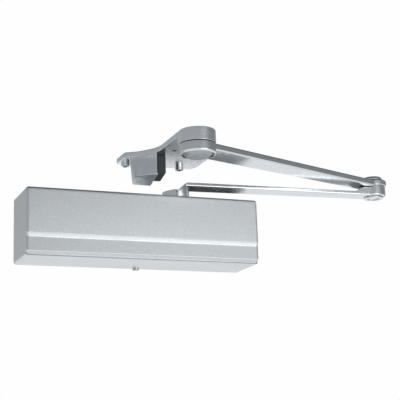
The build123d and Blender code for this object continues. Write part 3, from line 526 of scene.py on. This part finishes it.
# Main arm: steel bar, drop forged, with a hub cranked down onto the spindle's square
# and a boss at its far end, then painted glossy silver. A screw and a washer hold it on the spindle.
hub_radius = 18.0
hub_low, hub_top = 44.0, 55.5
spot_face_radius = 10.3
square_radius = 7.0
arm_low, arm_high = 61.8, 67.2
arm_root_half, arm_tip_half = 15.0, 12.5
crank_start, crank_stop = -4.0, 14.0
boss_radius = 17.0
bush_radius = 8.5
seam = 76.0
elbow = middle("elbow_pin")[:2]
arm_length = np.hypot(*(elbow - spindle))
arm_heading = np.arctan2(*(elbow - spindle)[::-1])
ramp_start, ramp_stop, ramp_rise = arm_length - 35, arm_length - 17.5, 6.8


def along_heading(origin, heading, station, across, up):
    """Points at stations along a heading from an origin, a distance across to its left and a height up."""
    x = origin[0] + station * np.cos(heading) - across * np.sin(heading)
    y = origin[1] + station * np.sin(heading) + across * np.cos(heading)
    return np.stack([x, y, up + 0 * x], axis=-1)


def eased(value, start, stop):
    """Smooth step from 0 at start to 1 at stop."""
    share = np.clip((value - start) / (stop - start), 0, 1)
    return share * share * (3 - 2 * share)


def bar(name, origin, heading, station, half, low, high, corner_low, corner_high, steps=5):
    """Bar along a heading. At each station its section is a rectangle, half to each side and from low to
    high, with quarter circles for corners; each of half, low and high is one value or one per station."""
    turn = np.linspace(0, np.pi / 2, steps + 1)
    angle = (np.arange(4)[:, None] * np.pi / 2 + turn).ravel()
    across_side = np.repeat([1, -1, -1, 1], steps + 1)
    up_side = np.repeat([1, 1, -1, -1], steps + 1)
    corner = np.where(up_side > 0, corner_high, corner_low)
    station, half, low, high = (
        np.broadcast_to(np.asarray(value, float), np.shape(station))[:, None]
        for value in (station, half, low, high)
    )
    across = across_side * (half - corner) + corner * np.cos(angle)
    up = np.where(up_side > 0, high - corner, low + corner) + corner * np.sin(angle)
    return skinned(name, along_heading(origin, heading, station, across, up))


def circle(centre, radius, count=96):
    """Points of a circle, turned evenly."""
    angle = np.linspace(0, 2 * np.pi, count, endpoint=False)
    return np.stack([centre[0] + radius * np.cos(angle), centre[1] + radius * np.sin(angle)], axis=-1)


def pillar(centre, radius, low, high):
    """Plain round cutter."""
    return raised("cutter", circle(centre, radius), [0, 0], [low, high])


def edged(low, high, low_radius, high_radius, steps=5):
    """Insets and heights up a wall whose lower and upper edges are quarter circles."""
    turn = np.linspace(0, np.pi / 2, steps + 1)
    inset = np.concatenate([low_radius * (1 - np.sin(turn)), high_radius * (1 - np.cos(turn))])
    height = np.concatenate([low + low_radius * (1 - np.cos(turn)), high - high_radius * (1 - np.sin(turn))])
    return inset, height


def crank_cutter():
    """What the forge leaves out over the hub: above its flat top and above the rise to the arm."""
    back, front, ceiling = -hub_radius - 4, crank_stop + 1, arm_high + 9
    along = np.linspace(back, front, 40)
    rise = hub_top + (arm_high - hub_top) * eased(along, crank_start, crank_stop)
    station = np.concatenate([along, [front, back]])
    up = np.concatenate([rise, [ceiling, ceiling]])
    across = np.array([[-hub_radius - 4], [hub_radius + 4]])
    return skinned("cutter", along_heading(spindle, arm_heading, station, across, up))


station = np.concatenate([
    np.linspace(0, ramp_start - 4, 24), np.linspace(ramp_start, ramp_stop, 16), [arm_length],
])
main_arm_forging = combined(
    bar(
        "main_arm_forging", spindle, arm_heading, station,
        arm_root_half + (arm_tip_half - arm_root_half) * station / arm_length,
        arm_low, arm_high + ramp_rise * eased(station, ramp_start, ramp_stop), 1.9, 1.0,
    ),
    ("UNION", raised("hub", circle(spindle, hub_radius), *edged(hub_low, arm_high, 1.2, 1.0))),
    ("DIFFERENCE", crank_cutter()),
    ("DIFFERENCE", pillar(spindle, spot_face_radius, hub_top, arm_high + 9)),
    ("DIFFERENCE", pillar(spindle, square_radius, hub_low - 1, hub_top + 1)),
    ("UNION", raised("boss", circle(elbow, boss_radius), *edged(arm_low, seam, 2.4, 0.6))),
    ("DIFFERENCE", pillar(elbow, bush_radius, arm_low - 1, seam + 1)),
)
# Forged steel under glossy aluminium paint: the die's skin leaves 4 mm ripples under the gloss.
forged_silver = metal_surface(
    "forged_silver", "#C3C6C9", "#D4D7D9", (0.12, 0.22), 4.0, 0.03, patch=30,
)
finished(main_arm_forging, "spindle", forged_silver, "forged_arm", "main_arm")

# Forearm: forged steel bar with a thick ring at the shoe and a flat eye at the elbow, painted like the arm.
# The ring turns on the shoe's stud; the eye is riveted to the elbow's pin.
pivot = middle("pivot_stud")[:2]
ring_low, ring_high = 70.5, 83.2
ring_radius = 23.2
recess_radius, recess_depth = 20.6, 5.0
ring_bore = 12.0
forearm_low, forearm_high = 74.5, 83.1
forearm_root_half, forearm_tip_half = 19.75, 13.75
eye_low, eye_high = 76.5, 84.7
eye_radius, relief_radius = 19.0, 19.4
pin_radius = 6.0
forearm_length = np.hypot(*(elbow - pivot))
forearm_heading = np.arctan2(*(elbow - pivot)[::-1])


def carried_round(centre, radius, height, count):
    """Rings of points: every radius and height of a profile carried round an upright axis."""
    angle = np.linspace(0, 2 * np.pi, count, endpoint=False)
    radius, height = np.asarray(radius, float)[:, None], np.asarray(height, float)[:, None]
    x = centre[0] + radius * np.cos(angle)
    y = centre[1] + radius * np.sin(angle)
    return np.stack([x, y, height + 0 * angle], axis=-1)


def loop(name, centre, radius, height, count=128):
    """Ring: a closed profile of radii and heights carried round an upright axis."""
    rings = carried_round(centre, np.append(radius, radius[0]), np.append(height, height[0]), count)
    return solid_object(name, rings.reshape(-1, 3), ring_faces(*rings.shape[:2]))


def pivot_ring():
    """Ring with a rounded wall outside and, inside, a recess below and the bush's bore above it."""
    inset, wall_height = edged(ring_low, ring_high, 2.6, 0.4)
    land = ring_radius - recess_radius - 0.4
    radius = [ring_bore, ring_bore, recess_radius, recess_radius, recess_radius]
    height = [ring_high, ring_low + recess_depth, ring_low + recess_depth, ring_low + 0.4, ring_low + 0.2]
    return loop(
        "ring", pivot, np.concatenate([radius, ring_radius - np.minimum(inset, land)]),
        np.concatenate([height, wall_height]),
    )


station = np.concatenate([[ring_bore], np.linspace(30, forearm_length - 30, 24), [forearm_length]])
forearm_forging = combined(
    bar(
        "forearm_forging", pivot, forearm_heading, station,
        forearm_root_half + (forearm_tip_half - forearm_root_half) * station / forearm_length,
        forearm_low, forearm_high, 2.2, 1.6,
    ),
    ("DIFFERENCE", pillar(elbow, relief_radius, forearm_low - 3, eye_low + 0.03)),
    ("DIFFERENCE", pillar(pivot, recess_radius + 0.8, forearm_low - 3, forearm_high + 3)),
    ("UNION", pivot_ring()),
    ("UNION", raised("eye", circle(elbow, eye_radius), *edged(eye_low, eye_high, 1.0, 2.0))),
    ("DIFFERENCE", pillar(elbow, pin_radius, eye_low - 1, eye_high + 1)),
)
finished(forearm_forging, "forearm", forged_silver, "forged_arm", "forearm")

# Elbow pin and collar: turned steel, the head domed at its edge; the pin's end is swaged into the collar
# below and left sunk in it. Both are painted with the arms.
head_top, head_radius, head_edge = 90.4, 13.5, 3.0
collar_low, collar_high, collar_radius = 59.8, 61.6, 13.5
sunk_radius, sunk_depth = 9.0, 1.1


def turned(name, centre, radius, height, count=96):
    """Turned piece: a profile of radii and heights, from its lower middle to its upper middle, carried
    round an upright axis; the ends of the profile are closed flat."""
    return skinned(name, carried_round(centre, radius, height, count))


turn = np.linspace(0, np.pi / 2, 9)
elbow_head = turned(
    "elbow_head", elbow,
    np.concatenate([
        [pin_radius, pin_radius, head_radius - 0.5, head_radius], head_radius - head_edge * (1 - np.cos(turn)),
    ]),
    np.concatenate([
        [collar_low + 0.6, eye_high, eye_high, eye_high + 0.5], head_top - head_edge * (1 - np.sin(turn)),
    ]),
)
finished(elbow_head, "forearm", forged_silver, "forged_arm", "elbow_pin")
elbow_swage = combined(
    raised("elbow_swage", circle(elbow, collar_radius), *edged(collar_low, collar_high, 0.7, 0.3)),
    ("DIFFERENCE", pillar(elbow, sunk_radius, collar_low - 1, collar_low + sunk_depth)),
    ("DIFFERENCE", pillar(elbow, pin_radius + 0.05, collar_low, collar_high + 1)),
)
finished(elbow_swage, "forearm", forged_silver, "forged_arm", "elbow_collar")

# Shoe: cast steel plate for the underside of the frame, with a neck that reaches forward to a deep round
# boss. Two pads stand under its ends for the frame screws, and a third screw goes through the neck.
plate_low, plate_high = 94.0, 101.0
shoe_low, shoe_high = (np.array(corner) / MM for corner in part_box("shoe_bracket"))
boss_low = 84.5
neck_radius = 22.8
neck_left, neck_right = pivot[0] - neck_radius, pivot[0] + neck_radius
pad_places = [(-14.5, -31.0), (61.7, -31.0)]
pad_radius, pad_low = 5.6, 88.0
neck_hole = (28.9, -101.0)
frame_hole_radius = 3.2
stop_screws = [(4.0, -32.0), (4.0, -56.0)]
stop_hole_radius = 2.5
stud_radius, stud_top = 9.0, 98.8
slope_length, slope_rise = 11.0, 4.4
plate_corners = [
    (neck_right - 0.1, pivot[1]), (60, -120), (68, -92), (84.7, -70), (92, -57),
    (shoe_high[0], shoe_high[1]), (shoe_low[0], shoe_high[1]), (shoe_low[0], -50), (-21.4, -54),
    (-6.4, -63), (neck_left + 0.1, -87.5), (neck_left + 0.1, pivot[1]),
]
plate_radii = [1.5, 30, 25, 20, 3, 2.5, 2.5, 2, 2, 34, 44, 1.5]
deep_corners = [
    (neck_left + 0.05, pivot[1]), (pivot[0], pivot[1]), (pivot[0] - 8, pivot[1] + 19),
    (neck_left + 0.05, pivot[1] + 8.5),
]


def end_slope():
    """Cutter for the slope under the plate's right end: a wedge carried along Y."""
    end = shoe_high[0]
    wedge = np.array([
        (end - slope_length, plate_low), (end + 1, plate_low + slope_rise), (end + 1, plate_low - 1),
    ])
    rings = np.empty((2, 3, 3))
    rings[..., 0], rings[..., 2] = wedge[:, 0], wedge[:, 1]
    rings[..., 1] = [[shoe_high[1] + 5], [-75.0]]
    return skinned("cutter", rings)


def drilled(place, radius):
    """Cutter for a hole through the plate."""
    return ("DIFFERENCE", pillar(place, radius, pad_low - 8, plate_high + 5))


def frame_pad(place):
    """Pad under the plate, rounded at its lower edge and sunk into the plate above."""
    return ("UNION", raised("pad", circle(place, pad_radius, 48), *edged(pad_low, plate_low + 2, 1.2, 0.1)))


plate_outline = rounded_outline(plate_corners, plate_radii, 8)
deep_outline = rounded_outline(deep_corners, 1.5)
shoe_casting = combined(
    raised("shoe_casting", plate_outline, *edged(plate_low, plate_high, 0.7, 0.9)),
    ("UNION", raised("boss", circle(pivot, neck_radius, 128), *edged(boss_low, plate_high - 0.04, 0.6, 0.9))),
    ("UNION", raised("gusset", deep_outline, *edged(boss_low + 0.04, plate_low + 2, 1.0, 0.1))),
    *[frame_pad(place) for place in pad_places],
    *[drilled(place, frame_hole_radius) for place in (*pad_places, neck_hole)],
    *[drilled(place, stop_hole_radius) for place in stop_screws],
    ("DIFFERENCE", end_slope()),
    ("DIFFERENCE", pillar(pivot, stud_radius, boss_low - 1, stud_top + 0.2)),
)
# Cast steel under silver paint: smoother than the iron, with a 2.5 mm waviness from the mould.
cast_silver = metal_surface(
    "cast_silver", "#CBCED2", "#DDDFE2", (0.18, 0.28), 2.5, 0.04, patch=30,
)
finished(shoe_casting, "shoe", cast_silver, "shoe_paint", "shoe_bracket")

# Pivot stud: turned steel, pressed into the boss from below; its bevelled head carries the forearm's ring.
# The arm turns on its shank, inside the bronze bush.
stud_low = 68.0
stud_flat, stud_head = 14.2, 18.7
stud_turning = turned(
    "stud_turning", pivot,
    [stud_flat - 0.8, stud_flat, stud_head - 0.5, stud_head, stud_head, stud_radius, stud_radius],
    [stud_low, stud_low + 0.3, stud_low + 3.6, stud_low + 4.2, stud_low + 7, stud_low + 7, stud_top],
)
# Worn paint on the stud's head: duller than the casting, over 0.6 mm tool marks.
worn_steel = metal_surface("worn_steel", "#8B8F93", "#A9ADB0", (0.30, 0.42), 0.6, 0.03, patch=12)
finished(stud_turning, "shoe", worn_steel, "shoe_paint", "pivot_stud")

# Pivot washer: steel, between the boss and the ring, coloured near black as painted shade.
# It draws a dark line of shade round the joint.
washer_bore, washer_radius, washer_play = 12.5, 22.3, 0.05
washer_low, washer_high = ring_high + washer_play, boss_low - washer_play
pivot_spacer = loop(
    "pivot_spacer", pivot, np.array([washer_bore, washer_radius, washer_radius, washer_bore]),
    np.array([washer_low, washer_low, washer_high, washer_high]),
)
# Painted shade: dull near-black with a 1 mm mottling, in place of the shade in the joint's gap.
painted_shade_steel = metal_surface("painted_shade_steel", "#1B1C1D", "#2A2B2C", (0.5, 0.7), 1.0, 0.03, metallic=0.2)
finished(pivot_spacer, "shoe", painted_shade_steel, "zinc_plate", "pivot_washer")

# Stop block: cast steel, drafted on its left side, hung under the plate by two sunk screws.
# It backs the rubber that the main arm meets when the door is opened far.
block_low, block_high = 68.0, 94.0
block_foot = np.array([(26, -16), (0, -16), (-11, -56), (14.8, -76.8)])
block_root = np.array([(26, -16), (-5, -24), (-15.5, -52), (14.8, -76.8)])
block_corners = [1.8, 2.4, 2.4, 1.8]
sunk_head_radius, sunk_head_depth = 4.3, 1.0


def drafted_block():
    """Solid between the outlines of its foot and its root, blended in proportion to height, its lower
    edge rounded and every corner an arc."""
    foot = rounded_outline(block_foot, block_corners)
    root = rounded_outline(block_root, block_corners)
    inset, height = edged(block_low, block_high, 1.4, 0.1)
    share = (height - block_low) / (block_high - block_low)
    return raised("block_casting", foot + (root - foot) * share[:, None, None], inset, height)


heads = [pillar(place, sunk_head_radius, block_low - 1, block_low + sunk_head_depth) for place in stop_screws]
shanks = [pillar(place, stop_hole_radius, block_low, block_high + 1) for place in stop_screws]
block_casting = combined(drafted_block(), *[("DIFFERENCE", cutter) for cutter in heads + shanks])
# The block keeps the rough skin of its sand mould under the paint: a 1.3 mm grain.
rough_casting = metal_surface("rough_casting", "#B4B9BF", "#CBD0D5", (0.30, 0.48), 1.3, 0.12, patch=9)
finished(block_casting, "shoe", rough_casting, "shoe_paint", "stop_block")

# Stop bumper: thick slab of black rubber, moulded and bonded to the block's right face.
# It takes the main arm's blow.
bumper_low, bumper_high = 70.0, 93.7
bumper_thickness, bumper_length = 10.2, 44.0
bond_gap = 0.05
face_run = block_foot[0] - block_foot[3]
face_run = face_run / np.hypot(*face_run)
face_out = np.array([face_run[1], -face_run[0]])
face_start = block_foot[3] + bond_gap * face_out
bumper_corners = [
    face_start, face_start + bumper_thickness * face_out,
    face_start + bumper_thickness * face_out + bumper_length * face_run,
    face_start + bumper_length * face_run,
]
bumper_moulding = raised(
    "bumper_moulding", rounded_outline(bumper_corners, [1.0, 1.2, 1.2, 1.0]),
    *edged(bumper_low, bumper_high, 0.8, 0.6),
)
# Moulded natural rubber: matt black, with a 0.9 mm grain from the mould.
moulded_rubber = metal_surface(
    "moulded_rubber", "#26292A", "#343839", (0.55, 0.70), 0.9, 0.05, metallic=0.0,
)
finished(bumper_moulding, "shoe", moulded_rubber, "buffer_rubber", "stop_bumper")
